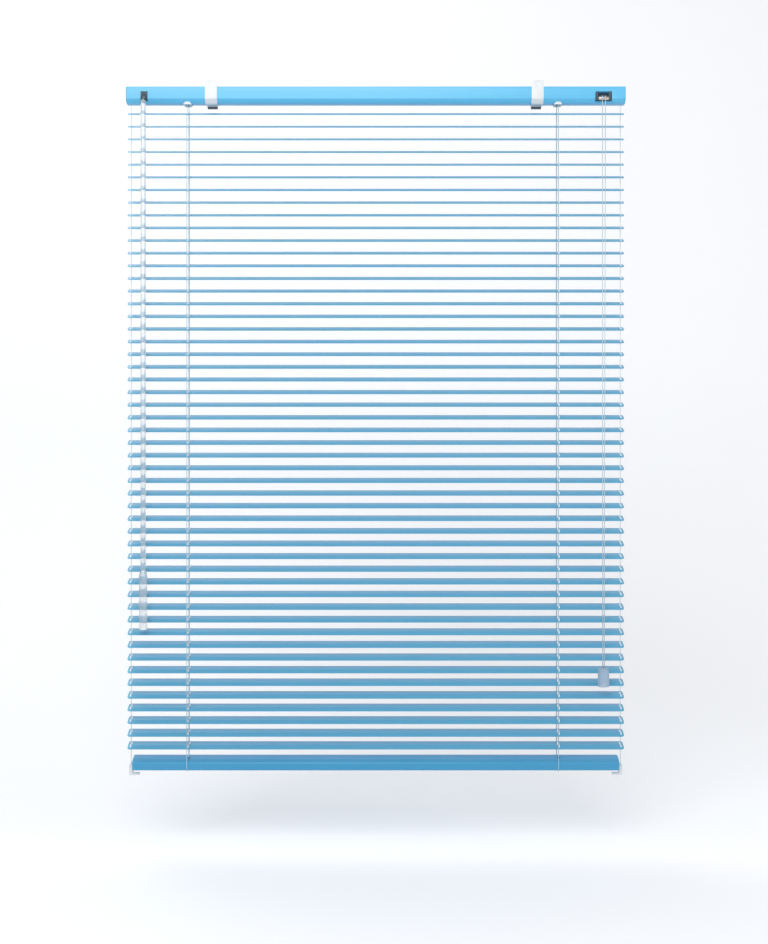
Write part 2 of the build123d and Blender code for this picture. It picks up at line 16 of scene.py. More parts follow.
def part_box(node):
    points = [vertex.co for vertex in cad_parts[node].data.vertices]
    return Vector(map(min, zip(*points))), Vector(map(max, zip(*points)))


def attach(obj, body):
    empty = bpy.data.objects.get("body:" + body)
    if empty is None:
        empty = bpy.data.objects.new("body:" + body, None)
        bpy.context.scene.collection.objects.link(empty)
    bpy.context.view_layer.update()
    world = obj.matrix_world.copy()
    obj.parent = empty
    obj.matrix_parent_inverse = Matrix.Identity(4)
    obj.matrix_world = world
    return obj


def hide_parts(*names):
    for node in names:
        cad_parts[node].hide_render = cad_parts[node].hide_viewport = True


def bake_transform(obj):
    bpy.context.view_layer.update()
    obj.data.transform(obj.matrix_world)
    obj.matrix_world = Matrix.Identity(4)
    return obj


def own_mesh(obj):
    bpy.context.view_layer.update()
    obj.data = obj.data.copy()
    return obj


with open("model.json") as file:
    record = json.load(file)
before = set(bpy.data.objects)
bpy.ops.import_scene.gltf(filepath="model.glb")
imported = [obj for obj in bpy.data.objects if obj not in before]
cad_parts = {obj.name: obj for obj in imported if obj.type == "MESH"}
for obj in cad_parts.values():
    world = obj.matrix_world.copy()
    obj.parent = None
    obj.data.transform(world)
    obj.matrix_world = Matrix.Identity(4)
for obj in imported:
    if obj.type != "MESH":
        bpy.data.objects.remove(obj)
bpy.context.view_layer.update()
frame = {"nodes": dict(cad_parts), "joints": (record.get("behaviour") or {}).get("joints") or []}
scene = bpy.context.scene
MM = 0.001

# %% [markdown]
# ## The camera
# The picture was taken square on, a little below the middle of the blind, so the camera stands level
# and needs no shift. The sensor's width belongs to the long side of the picture. The focal length in
# pixels comes from the picture's mild perspective, and the distance from the slats' 20 mm pitch.

# %% Camera
LONG_SIDE_PX = 944
FOCAL_PX = 1300
SENSOR_WIDTH = 36.0
CAMERA_PLACE = (0.0153, -2.048, -0.6124)

camera_data = bpy.data.cameras.new("camera")
camera_data.sensor_width = SENSOR_WIDTH
camera_data.lens = SENSOR_WIDTH * FOCAL_PX / LONG_SIDE_PX
camera = bpy.data.objects.new("camera", camera_data)
camera.location = CAMERA_PLACE
camera.rotation_euler = (radians(90), 0, 0)
scene.collection.objects.link(camera)
scene.camera = camera
scene.view_settings.view_transform = "Standard"
print("lens", round(camera_data.lens, 2), "mm")

# %% [markdown]
# ## Measures from the frame
# Each slat turns about its own chord, and the frame's joints say where that is. The slats' places and
# the blind's middle are read from them, and the ladders and the lock stand at their insets from the
# headrail's ends.

# %% Measures
REST_TILT_DEGREES = 19
LADDER_INSET_LEFT = 96.5 * MM
LADDER_INSET_RIGHT = 106 * MM
LOCK_INSET = 34.8 * MM

axis_of = {joint["child"]: Vector(joint["pos_m"]) for joint in frame["joints"]}
slat_names = sorted(name for name in frame["nodes"] if name.startswith("slat_"))
first_slat = axis_of[slat_names[0]]
last_slat = axis_of[slat_names[-1]]
rail_axis = axis_of["bottom_rail"]
shaft_z = axis_of["tilt_shaft"].z
centre_x = first_slat.x
middle_y = first_slat.y
headrail_low, headrail_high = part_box("headrail")
rail_bottom = headrail_low.z
rest_tilt = radians(REST_TILT_DEGREES)
ladder_x = (headrail_low.x + LADDER_INSET_LEFT, headrail_high.x - LADDER_INSET_RIGHT)
lock_x = headrail_high.x - LOCK_INSET
pitch = (first_slat.z - last_slat.z) / (len(slat_names) - 1)
print("slats", len(slat_names), "pitch", round(pitch, 5))


def tilted(across, up, centre):
    """Turn a place on a tilted slat or rail, from its own axis, into Y and Z."""
    y = centre.y + across * cos(rest_tilt) - up * sin(rest_tilt)
    return y, centre.z + across * sin(rest_tilt) + up * cos(rest_tilt)


# %% [markdown]
# ## Shader maths as Python
# A material's pattern is easier to read as an expression than as a picture of boxes. A Wire wraps one
# socket, and its operators add Math nodes. A Finish is one material, and its node method is the only
# other way in: settings first, then the values or links of the sockets.

# %% Wires and finishes
class Wire:
    """One output socket of a material, with Python's operators for its maths."""

    def __init__(self, finish, socket):
        self.finish = finish
        self.socket = socket

    def math(self, operation, first, second=0.0):
        return self.finish.node("ShaderNodeMath", {"operation": operation}, {0: first, 1: second})

    def __add__(self, other):
        return self.math("ADD", self, other)

    def __radd__(self, other):
        return self.math("ADD", other, self)

    def __sub__(self, other):
        return self.math("SUBTRACT", self, other)

    def __rsub__(self, other):
        return self.math("SUBTRACT", other, self)

    def __mul__(self, other):
        return self.math("MULTIPLY", self, other)

    def __rmul__(self, other):
        return self.math("MULTIPLY", other, self)

    def __gt__(self, other):
        return self.math("GREATER_THAN", self, other)

    def sine(self):
        return self.math("SINE", self)

    def size(self):
        return self.math("ABSOLUTE", self)


class Finish:
    """A material in the making."""

    def __init__(self, name):
        self.material = bpy.data.materials.new(name)
        self.material.use_nodes = True
        self.tree = self.material.node_tree
        self.shader = self.tree.nodes["Principled BSDF"]

    def node(self, kind, settings=None, sockets=None, output=0):
        """Add a node: its settings, then its sockets' values or links. Gives back one output."""
        made = self.tree.nodes.new(kind)
        for name, value in (settings or {}).items():
            setattr(made, name, value)
        for name, value in (sockets or {}).items():
            self.plug(made.inputs[name], value)
        return Wire(self, made.outputs[output])

    def plug(self, socket, value):
        if isinstance(value, Wire):
            self.tree.links.new(value.socket, socket)
        else:
            socket.default_value = value

    def set(self, **values):
        """Set the shader's own sockets: base_color becomes Base Color."""
        for name, value in values.items():
            words = name.replace("_", " ").title().replace("Ior", "IOR")
            self.plug(self.shader.inputs[words], value)
        return self.material

    def mix(self, low, high, factor):
        """Mix two colours."""
        return self.node(
            "ShaderNodeMix", {"data_type": "RGBA"}, {0: factor, 6: low, 7: high}, output=2
        )

    def noise(self, scale, stretch=(1, 1, 1), detail=3.0):
        """Noise in the object's own metres, pulled out along the axes that stretch makes small."""
        place = self.node("ShaderNodeTexCoord", output=3)
        scaled = self.node(
            "ShaderNodeVectorMath", {"operation": "MULTIPLY"}, {0: place, 1: stretch}
        )
        return self.node("ShaderNodeTexNoise", None, {0: scaled, "Scale": scale, "Detail": detail})

    def split(self, vector, output):
        return self.node("ShaderNodeSeparateXYZ", None, {0: vector}, output)

    def bump(self, height, depth):
        """Turn a height from 0 to 1 into a normal, for a relief that is depth metres deep."""
        return self.node(
            "ShaderNodeBump", None, {"Strength": 1.0, "Distance": depth, "Height": height}
        )


# %% [markdown]
# ## Stove-enamelled aluminium
# The slats and rails are coil-coated before they are cut, which leaves a satin blue with fine lines
# along the strip and a faint orange peel. Upward faces get a pale sky-blue mix, partly dust and partly
# painted light. The lines are noise stretched along X, and that mix is a mask from the surface's own
# direction.

# %% Blue lacquer
# Pale sky-blue for upward faces: partly dust, partly painted light from above.
DUST_AND_TOP_LIGHT = (0.45, 0.66, 0.74, 1)


def lacquer(name, colour, roughness):
    finish = Finish(name)
    lines = finish.noise(420, stretch=(0.006, 1, 1))
    peel = finish.noise(1100)
    patches = finish.noise(9)
    facing = finish.node("ShaderNodeNewGeometry", output=1)
    up = finish.split(facing, 2)
    # Upward faces: partly real dust, which is also rougher, and partly painted light.
    dust_and_top_light = (up > 0.5) * (0.04 + 0.08 * patches)
    deep = tuple(0.90 * part for part in colour) + (1,)
    pale = tuple(min(1, 1.07 * part) for part in colour) + (1,)
    coat = finish.mix(deep, pale, lines * 0.6 + patches * 0.4)
    return finish.set(
        base_color=finish.mix(coat, DUST_AND_TOP_LIGHT, dust_and_top_light),
        roughness=roughness + 0.10 * lines + 0.5 * dust_and_top_light,
        normal=finish.bump(peel, 0.00001),
        coat_weight=0.15,
        coat_roughness=0.25,
    )


# The slats and the bottom rail carry the headrail's paint; their darker blues are painted shade.
rail_blue = lacquer("headrail_lacquer", (0.128, 0.540, 0.830), 0.34)
slat_blue_painted_shade = lacquer("slat_lacquer", (0.105, 0.425, 0.640), 0.30)
bottom_rail_blue_painted_shade = lacquer("rail_lacquer", (0.048, 0.345, 0.600), 0.32)

# %% [markdown]
# ## Enamel, plastics and metals
# The hangers and lower brackets are white, the lugs under the hangers are black plastic, and the
# drive inside the headrail is plated steel and moulded plastic. Moulded plastic has a fine spark
# texture, and drawn metal has lines along its length.

# %% Enamel and plastic
def moulded(name, colour, roughness, grain):
    """Plastic from a spark-eroded mould, or thick enamel where the grain is shallow."""
    finish = Finish(name)
    spots = finish.noise(1800, detail=4)
    clouds = finish.noise(60)
    deep = tuple(0.93 * part for part in colour) + (1,)
    pale = tuple(colour) + (1,)
    return finish.set(
        base_color=finish.mix(deep, pale, clouds),
        roughness=roughness + 0.12 * spots,
        normal=finish.bump(spots, grain),
    )


white_enamel = moulded("white_enamel", (0.80, 0.82, 0.83), 0.28, 0.000008)
white_plastic = moulded("white_plastic", (0.80, 0.81, 0.82), 0.42, 0.00002)
grey_plastic = moulded("grey_plastic", (0.060, 0.095, 0.130), 0.45, 0.00002)
black_plastic = moulded("black_plastic", (0.150, 0.165, 0.175), 0.45, 0.00002)
blue_plastic = moulded("cap_plastic", (0.120, 0.450, 0.700), 0.38, 0.00001)


# %% Metals
def drawn_metal(name, colour, roughness):
    """Drawn or turned metal, with fine lines along X."""
    finish = Finish(name)
    lines = finish.noise(900, stretch=(0.01, 1, 1))
    tarnish = finish.noise(70)
    deep = tuple(0.72 * part for part in colour) + (1,)
    pale = tuple(colour) + (1,)
    return finish.set(
        base_color=finish.mix(deep, pale, 0.5 * lines + 0.5 * tarnish),
        metallic=1.0,
        roughness=roughness + 0.18 * lines,
        normal=finish.bump(lines, 0.000006),
    )


plated_steel = drawn_metal("plated_steel", (0.66, 0.66, 0.64), 0.26)
roller_brass = drawn_metal("roller_brass", (0.74, 0.63, 0.55), 0.30)


# %% [markdown]
# ## Clear plastic
# The wand is clear acrylic, a little frosted, so it shows as a pale band. The tassel is a milky, bluish
# moulding. Both let part of the light through and scatter the rest.

# %% Clear plastics
def clear(name, colour, roughness, transmission):
    finish = Finish(name)
    flow = finish.noise(150, stretch=(1, 1, 0.05))
    return finish.set(
        base_color=finish.mix(tuple(0.95 * part for part in colour) + (1,), colour + (1,), flow),
        roughness=roughness + 0.04 * flow,
        normal=finish.bump(flow, 0.00001),
        transmission_weight=transmission,
        ior=1.49,
    )


clear_acrylic = clear("clear_plastic", (0.93, 0.97, 0.99), 0.20, 0.80)
tassel_plastic = clear("tassel_plastic", (0.66, 0.82, 0.95), 0.34, 0.60)


# %% [markdown]
# ## Braid
# The ladder and lift cords are braided polyester. A braid is two families of strands that cross, so
# its relief is the product of two slanting waves. The tubes below carry their own map: U goes once
# round the cord, and V is the length in metres.

# %% Cord finish
def braid(name, colour, strands, lay):
    finish = Finish(name)
    around = finish.node("ShaderNodeUVMap", {"uv_map": "cord"})
    u = finish.split(around, 0) * (2 * pi * strands)
    v = finish.split(around, 1) * (2 * pi / lay)
    weave = ((u + v).sine() * (u - v).sine()).size()
    # Darker where the weave dips between strands: painted shade in the hollows.
    deep = tuple(0.66 * part for part in colour) + (1,)
    return finish.set(
        base_color=finish.mix(deep, colour + (1,), weave),
        roughness=0.85 - 0.15 * weave,
        normal=finish.bump(weave, 0.0001),
        sheen_weight=0.3,
    )


ladder_braid = braid("blue_cord", (0.58, 0.84, 0.93), 2, 0.0022)
pull_braid = braid("pull_cord_braid", (0.68, 0.86, 0.94), 3, 0.0030)
guide_nylon = moulded("guide_nylon", (0.55, 0.66, 0.72), 0.30, 0.000004)


# %% [markdown]
# ## From a solid to a finished piece
# A CAD node can hold several solids, such as two hangers and their lugs. Its mesh is copied, its
# solids are told apart by walking along their edges, and each becomes a piece of its own with a name
# and a finish. Where a node is given a bevel, a small one catches the light on its sharp edges.

# %% Pieces from solids
def add_piece(name, mesh, finish, body, slot, *nodes):
    """Put a mesh in the scene as a piece that rides on a body and stands for CAD nodes."""
    piece = bpy.data.objects.new(name, mesh)
    scene.collection.objects.link(piece)
    mesh.materials.append(finish)
    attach(piece, body)
    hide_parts(*nodes)
    return piece


def islands(bm):
    """Give the separate solids of a mesh, each as its list of faces."""
    left = set(bm.faces)
    found = []
    while left:
        group = [left.pop()]
        for face in group:
            for edge in face.edges:
                for other in edge.link_faces:
                    if other in left:
                        left.remove(other)
                        group.append(other)
        found.append(group)
    return found


def middle_of(faces):
    points = [vert.co for face in faces for vert in face.verts]
    low = Vector(min(point[axis] for point in points) for axis in range(3))
    high = Vector(max(point[axis] for point in points) for axis in range(3))
    return (low + high) / 2


SMOOTH_ANGLE = 32
FLAT_ANGLE = 0.5
BEVEL_ANGLE = 40
SAME_POINT = 1e-6


def soften(bm, smooth_angle=SMOOTH_ANGLE):
    """Shade smoothly across gentle edges and keep the sharp ones."""
    for face in bm.faces:
        face.smooth = True
    for edge in bm.edges:
        edge.smooth = edge.is_manifold and edge.calc_face_angle(0) < radians(smooth_angle)


def solids_of(node, order, bevel=0.0):
    """Split a CAD node into one mesh for each solid, sorted by the place of its middle."""
    source = bmesh.new()
    source.from_mesh(frame["nodes"][node].data)
    bmesh.ops.remove_doubles(source, verts=source.verts, dist=SAME_POINT)
    groups = sorted(islands(source), key=lambda faces: order(middle_of(faces)))
    meshes = []
    for faces in groups:
        bm = bmesh.new()
        made = {}
        for face in faces:
            for vert in face.verts:
                if vert not in made:
                    made[vert] = bm.verts.new(vert.co)
            bm.faces.new([made[vert] for vert in face.verts])
        bmesh.ops.dissolve_limit(
            bm, angle_limit=radians(FLAT_ANGLE), verts=bm.verts, edges=bm.edges, delimit={"NORMAL"}
        )
        if bevel:
            sharp = [edge for edge in bm.edges if edge.calc_face_angle(0) > radians(BEVEL_ANGLE)]
            bmesh.ops.bevel(
                bm,
                geom=sharp,
                offset=bevel,
                segments=2,
                profile=0.6,
                affect="EDGES",
                clamp_overlap=True,
            )
        soften(bm)
        mesh = bpy.data.meshes.new(node)
        bm.to_mesh(mesh)
        bm.free()
        meshes.append(mesh)
    source.free()
    return meshes


def dress(node, body, order, looks, bevel=0.0):
    """Make one piece for each solid of a node. looks lists (name, finish, slot) in the same order."""
    meshes = solids_of(node, order, bevel)
    print(node, "solids", len(meshes), "faces", [len(mesh.polygons) for mesh in meshes])
    for mesh, (name, finish, slot) in zip(meshes, looks, strict=True):
        add_piece(name, mesh, finish, body, slot, node)


def along_x(middle):
    return round(middle.x, 3), middle.y


def upward(middle):
    return round(middle.z, 3), middle.x


# %% [markdown]
# ## Headrail and hangers
# The headrail is one folded strip of enamelled steel with a moulded cap in each end. A white strap
# wraps it at two places, and a black lug sits under each strap. The lower brackets hold the guide
# lines' lower ends.

# %% Headrail, hangers and brackets
dress(
    "headrail",
    "headrail",
    along_x,
    [
        ("headrail_cap_left", blue_plastic, "headrail_lacquer"),
        ("headrail_channel", rail_blue, "headrail_lacquer"),
        ("headrail_cap_right", blue_plastic, "headrail_lacquer"),
    ],
    bevel=0.15 * MM,
)
dress(
    "brackets",
    "headrail",
    upward,
    [
        ("lower_bracket_left", white_plastic, "white_plastic"),
        ("lower_bracket_right", white_plastic, "white_plastic"),
        ("lug_left", black_plastic, "black_plastic"),
        ("lug_right", black_plastic, "black_plastic"),
        ("hanger_left", white_enamel, "white_enamel"),
        ("hanger_right", white_enamel, "white_enamel"),
    ],
    bevel=0.25 * MM,
)

# %% [markdown]
# ## The drive
# A hexagonal shaft runs along the headrail. It carries a drum over each ladder and a worm wheel at the
# wand's end. The worm's stem comes out of the headrail's front and ends in a ball, and the wand's
# socket snaps over it. At the other end is the cord lock with its roller.

# %% Shaft, worm, housings, cord lock and wand
dress(
    "tilt_shaft",
    "tilt_shaft",
    along_x,
    [
        ("worm_wheel", white_plastic, "white_plastic"),
        ("drum_left", white_plastic, "white_plastic"),
        ("hex_shaft", plated_steel, "plated_steel"),
        ("drum_right", white_plastic, "white_plastic"),
    ],
)
dress(
    "headrail_fittings",
    "headrail",
    along_x,
    [
        ("tilter_housing", grey_plastic, "grey_plastic"),
        ("cradle_left", white_plastic, "white_plastic"),
        ("cradle_right", white_plastic, "white_plastic"),
        ("lock_roller", roller_brass, "roller_brass"),
        ("lock_body", grey_plastic, "grey_plastic"),
    ],
    bevel=0.12 * MM,
)
dress("tilter_stem", "tilter_stem", along_x, [("worm_and_stem", plated_steel, "stem_steel")])
dress("wand", "wand", along_x, [("clear_wand", clear_acrylic, "clear_plastic")], bevel=0.25 * MM)
dress(
    "bottom_rail",
    "bottom_rail",
    along_x,
    [
        ("bottom_cap_left", blue_plastic, "rail_lacquer"),
        ("button_left", blue_plastic, "rail_lacquer"),
        ("bottom_rail_shell", bottom_rail_blue_painted_shade, "rail_lacquer"),
        ("button_right", blue_plastic, "rail_lacquer"),
        ("bottom_cap_right", blue_plastic, "rail_lacquer"),
    ],
    bevel=0.2 * MM,
)

# %% [markdown]
# ## Slats
# A slat is a thin strip, rolled to a crown, cut with round corners and punched with two long slots
# for the lift cords and two for the guide lines. It is drawn flat, filled, cut into narrow bands
# across its width, and each point is then lifted onto the crown. A solidify step gives it the real
# thickness. All fifty-one slats share this one mesh.

# %% Slat mesh
SLAT_LENGTH = 784 * MM
SLAT_WIDTH = 25 * MM
SLAT_THICKNESS = 0.22 * MM
SLAT_CROWN = 1.8 * MM
SLAT_CORNER = 4 * MM
ROUTE_SLOT = (17.5 * MM, 3.2 * MM)
GUIDE_SLOT = (15.5 * MM, 2.2 * MM)
GUIDE_INSET = 4.5 * MM
LIFT_CORD_OFFSET = 1.4 * MM
CROWN_BANDS = 18
ARC_STEPS = 8


def arc(centre, radius, start, end):
    """Points on an arc, with its angles in degrees."""
    angles = [radians(start + (end - start) * step / ARC_STEPS) for step in range(ARC_STEPS + 1)]
    return [(centre[0] + radius * cos(a), centre[1] + radius * sin(a)) for a in angles]


def rounded_outline(length, width, radius):
    x, y = length / 2 - radius, width / 2 - radius
    corners = ((x, y, 0), (-x, y, 90), (-x, -y, 180), (x, -y, 270))
    return [p for cx, cy, start in corners for p in arc((cx, cy), radius, start, start + 90)]


def slot_outline(x, length, width):
    """A slot with round ends that runs across the slat."""
    reach = (length - width) / 2
    return arc((x, reach), width / 2, 0, 180) + arc((x, -reach), width / 2, 180, 360)


def slat_mesh():
    loops = [rounded_outline(SLAT_LENGTH, SLAT_WIDTH, SLAT_CORNER)]
    for x in ladder_x:
        loops.append(slot_outline(x - centre_x + LIFT_CORD_OFFSET, *ROUTE_SLOT))
    for side in (-1, 1):
        loops.append(slot_outline(side * (SLAT_LENGTH / 2 - GUIDE_INSET), *GUIDE_SLOT))
    bm = bmesh.new()
    for loop in loops:
        verts = [bm.verts.new((x, y, 0)) for x, y in loop]
        for first, second in zip(verts, verts[1:] + verts[:1]):
            bm.edges.new((first, second))
    bmesh.ops.remove_doubles(bm, verts=bm.verts, dist=1e-7)
    bmesh.ops.triangle_fill(bm, use_beauty=True, edges=bm.edges)
    for band in range(1, CROWN_BANDS):
        y = SLAT_WIDTH * (band / CROWN_BANDS - 0.5)
        everything = bm.verts[:] + bm.edges[:] + bm.faces[:]
        bmesh.ops.bisect_plane(bm, geom=everything, plane_co=(0, y, 0), plane_no=(0, 1, 0))
    bmesh.ops.recalc_face_normals(bm, faces=bm.faces)
    if bm.faces[0].normal.z < 0:
        bmesh.ops.reverse_faces(bm, faces=bm.faces)
    for vert in bm.verts:
        vert.co.z = SLAT_CROWN * (1 - (2 * vert.co.y / SLAT_WIDTH) ** 2)
    bmesh.ops.solidify(bm, geom=bm.faces[:], thickness=SLAT_THICKNESS)
    soften(bm)
    mesh = bpy.data.meshes.new("slat")
    bm.to_mesh(mesh)
    bm.free()
    return mesh


slat_shape = slat_mesh()
slat_shape.materials.append(slat_blue_painted_shade)
print("slat faces", len(slat_shape.polygons))

for name in slat_names:
    piece = bpy.data.objects.new(name + "_strip", slat_shape)
    piece.matrix_world = Matrix.Translation(axis_of[name]) @ Matrix.Rotation(rest_tilt, 4, "X")
    scene.collection.objects.link(piece)
    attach(piece, name)
    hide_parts(name)

# %% [markdown]
# ## Cords as tubes
# A cord's route is a short list of points. A NURBS spline through them gives the soft line, and a
# ring of points is carried along it without twisting. The route of a straight, loaded cord is just
# its two ends.

# %% Tubes
RING = 10


def soft_line(points):
    """Read the smooth line that a NURBS spline makes of a route."""
    if len(points) == 2:
        return [Vector(point) for point in points]
    curve = bpy.data.curves.new("route", "CURVE")
    curve.dimensions = "3D"
    curve.resolution_u = 8
    spline = curve.splines.new("NURBS")
    spline.points.add(len(points) - 1)
    for place, point in zip(spline.points, points):
        place.co = (*point, 1)
    spline.order_u = 3
    spline.use_endpoint_u = True
    holder = bpy.data.objects.new("route", curve)
    mesh = bpy.data.meshes.new_from_object(holder)
    line = [vert.co.copy() for vert in mesh.vertices]
    bpy.data.objects.remove(holder)
    bpy.data.curves.remove(curve)
    bpy.data.meshes.remove(mesh)
    return line


def add_tube(bm, line, radius, ring=RING):
    """Add a closed tube along a line, with U round it and V in metres along it."""
    uv = bm.loops.layers.uv.get("cord") or bm.loops.layers.uv.new("cord")
    before, after = [line[0], *line[:-1]], [*line[1:], line[-1]]
    tangents = [(late - early).normalized() for early, late in zip(before, after)]
    turns = [2 * pi * k / ring for k in range(ring)]
    side = tangents[0].orthogonal().normalized()
    rings = []
    lengths = [0.0]
    for i, (point, tangent) in enumerate(zip(line, tangents)):
        side = (side - tangent * side.dot(tangent)).normalized()
        other = tangent.cross(side)
        if i:
            lengths.append(lengths[-1] + (point - line[i - 1]).length)
        rings.append([bm.verts.new(point + radius * (cos(a) * side + sin(a) * other)) for a in turns])
    for i in range(len(rings) - 1):
        for k in range(ring):
            nxt = (k + 1) % ring
            face = bm.faces.new((rings[i][k], rings[i][nxt], rings[i + 1][nxt], rings[i + 1][k]))
            face.smooth = True
            spots = ((k, i), (k + 1, i), (k + 1, i + 1), (k, i + 1))
            for loop, (u, v) in zip(face.loops, spots):
                loop[uv].uv = (u / ring, lengths[v])
    bm.faces.new(rings[0][::-1])
    bm.faces.new(rings[-1])
    return lengths[-1]


def tube_mesh(name, lines, radius):
    bm = bmesh.new()
    for line in lines:
        add_tube(bm, line, radius)
    mesh = bpy.data.meshes.new(name)
    bm.to_mesh(mesh)
    bm.free()
    return mesh


# %% [markdown]
# ## Ladders
# A ladder is a front and a rear cord, with a rung under every slat. The two cords come off the drum,
# spread below the headrail's outlet and run straight down. As the slats close, the two cords draw
# together, but here they keep their rest shape. Each rung rides on its slat. The last stretch bends
# round the bottom rail at its rest tilt and stays fixed, though the rail turns with the slats.

# %% Ladder measures
LADDER_RADIUS = 0.6 * MM
RUNG_RADIUS = 0.4 * MM
RUNG_LEVEL = -0.55 * MM
LADDER_HALF = 13.5 * MM
DRUM_RADIUS = 6 * MM
OUTLET_DROP = 2 * MM
SPREAD_HEIGHT = 2.5 * MM
RAIL_HALF_WIDTH = 13 * MM
RAIL_HALF_HEIGHT = 7.5 * MM
WRAP_GAP = 0.05 * MM
JOIN_HEIGHT = 6.4 * MM
BUTTON_RADIUS = 5.5 * MM
KNOT_RADIUS = 0.8 * MM
DRUM_CLEARANCE = 1.2 * MM
DRUM_GAP = 0.4 * MM
SPREAD_SETTLE = 8 * MM
TAIL_DROP = 2 * MM
TAIL_STRAIGHT = 5 * MM
WRAP_TURN = 3.5 * MM
under_drum = shaft_z - DRUM_RADIUS - DRUM_CLEARANCE
tail_top = last_slat.z - TAIL_DROP

# %% Ladder cords
for ladder, x in zip(("left", "right"), ladder_x):
    upper, lower = [], []
    for side, facing in ((-1, "front"), (1, "rear")):
        outlet_y = middle_y + side * (DRUM_RADIUS + LADDER_RADIUS)
        cord_y = tilted(side * LADDER_HALF, RUNG_LEVEL, first_slat)[0]
        spread_z = tilted(side * SLAT_WIDTH / 2, 0, first_slat)[1] + SPREAD_HEIGHT
        upper.append([Vector((x, outlet_y, shaft_z)), Vector((x, outlet_y, under_drum))])
        route = [
            (x, outlet_y, under_drum + DRUM_GAP),
            (x, outlet_y, rail_bottom - OUTLET_DROP),
            (x, cord_y, spread_z),
            (x, cord_y, spread_z - SPREAD_SETTLE),
            (x, cord_y, tail_top),
        ]
        lower.append(soft_line(route))
        wrap = RAIL_HALF_WIDTH + LADDER_RADIUS + WRAP_GAP
        below = -(RAIL_HALF_HEIGHT + LADDER_RADIUS + WRAP_GAP)
        join = (x, *tilted(side * wrap, JOIN_HEIGHT, rail_axis))
        tail = [
            (x, cord_y, tail_top),
            (x, cord_y, tail_top - TAIL_STRAIGHT),
            join,
            (x, *tilted(side * wrap, 0, rail_axis)),
            (x, *tilted(side * wrap, below, rail_axis)),
            (x, *tilted(side * (wrap - WRAP_TURN), below, rail_axis)),
            (x, *tilted(side * (BUTTON_RADIUS + WRAP_GAP), below, rail_axis)),
        ]
        mesh = tube_mesh("tail", [soft_line(tail)], LADDER_RADIUS)
        mesh.materials.append(ladder_braid)
        piece = bpy.data.objects.new(f"ladder_tail_{ladder}_{facing}", mesh)
        scene.collection.objects.link(piece)
        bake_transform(piece)
        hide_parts("ladders")
    add_piece(
        f"ladder_top_{ladder}",
        tube_mesh("ladder_top", upper, LADDER_RADIUS),
        ladder_braid,
        "headrail",
        "blue_cord",
        "ladders",
    )
    cords = add_piece(
        f"ladder_cords_{ladder}",
        tube_mesh("ladder_cords", lower, LADDER_RADIUS),
        ladder_braid,
        "headrail",
        "blue_cord",
        "ladders",
    )
    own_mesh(cords)


# %% Rungs
def rung_mesh():
    """Both ladders' rungs for one slat, each with the small loops that hold it to its cords."""
    bm = bmesh.new()
    for x in ladder_x:
        ends = [Vector((x - centre_x, side * LADDER_HALF, RUNG_LEVEL)) for side in (-1, 1)]
        add_tube(bm, ends, RUNG_RADIUS)
        for end in ends:
            loops = bmesh.ops.create_uvsphere(bm, u_segments=10, v_segments=6, radius=KNOT_RADIUS)
            bmesh.ops.translate(bm, verts=loops["verts"], vec=end)
    mesh = bpy.data.meshes.new("rungs")
    bm.to_mesh(mesh)
    bm.free()
    return mesh


rungs = rung_mesh()
rungs.materials.append(ladder_braid)
for name in slat_names:
    piece = bpy.data.objects.new(name + "_rungs", rungs)
    piece.matrix_world = Matrix.Translation(axis_of[name]) @ Matrix.Rotation(rest_tilt, 4, "X")
    scene.collection.objects.link(piece)
    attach(piece, name)
    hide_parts("ladders")
print("rung pieces", len(slat_names))

# %% [markdown]
# ## Lift cords and guide lines
# Each lift cord comes in over the lock's roller, runs along the headrail, turns down through its
# cradle and passes through every slat to the bottom rail. The stretch at the rail is drawn at the
# rail's rest tilt and stays fixed. A guide line at each end keeps the slats from swinging.

# %% Lift cords
LIFT_RADIUS = 0.7 * MM
GUIDE_RADIUS = 0.4 * MM
ROLLER_RADIUS = 3 * MM
ROLLER_FRONT = 1.5 * MM
ROLLER_DROP = 18.5 * MM
PULL_SPACING = 4.6 * MM
RUN_Z = rail_bottom + 3.8 * MM
RUN_START = 26 * MM
RUN_Y = (16.5 * MM, 14.5 * MM)
CORD_SLAT_CLEARANCE = 5 * MM
ENTRY_HEIGHT = 4 * MM
RUN_SETTLE = 12 * MM
RUN_CORNER = 8 * MM
LIFT_TAIL_STRAIGHT = 3 * MM
FOOT_TOP_GAP = 1.2 * MM
POST_HEIGHT = 14 * MM
roller_y = ROLLER_RADIUS - ROLLER_FRONT
roller_z = headrail_high.z - ROLLER_DROP
front_y = roller_y - ROLLER_RADIUS - LIFT_RADIUS
over_z = roller_z + ROLLER_RADIUS + LIFT_RADIUS

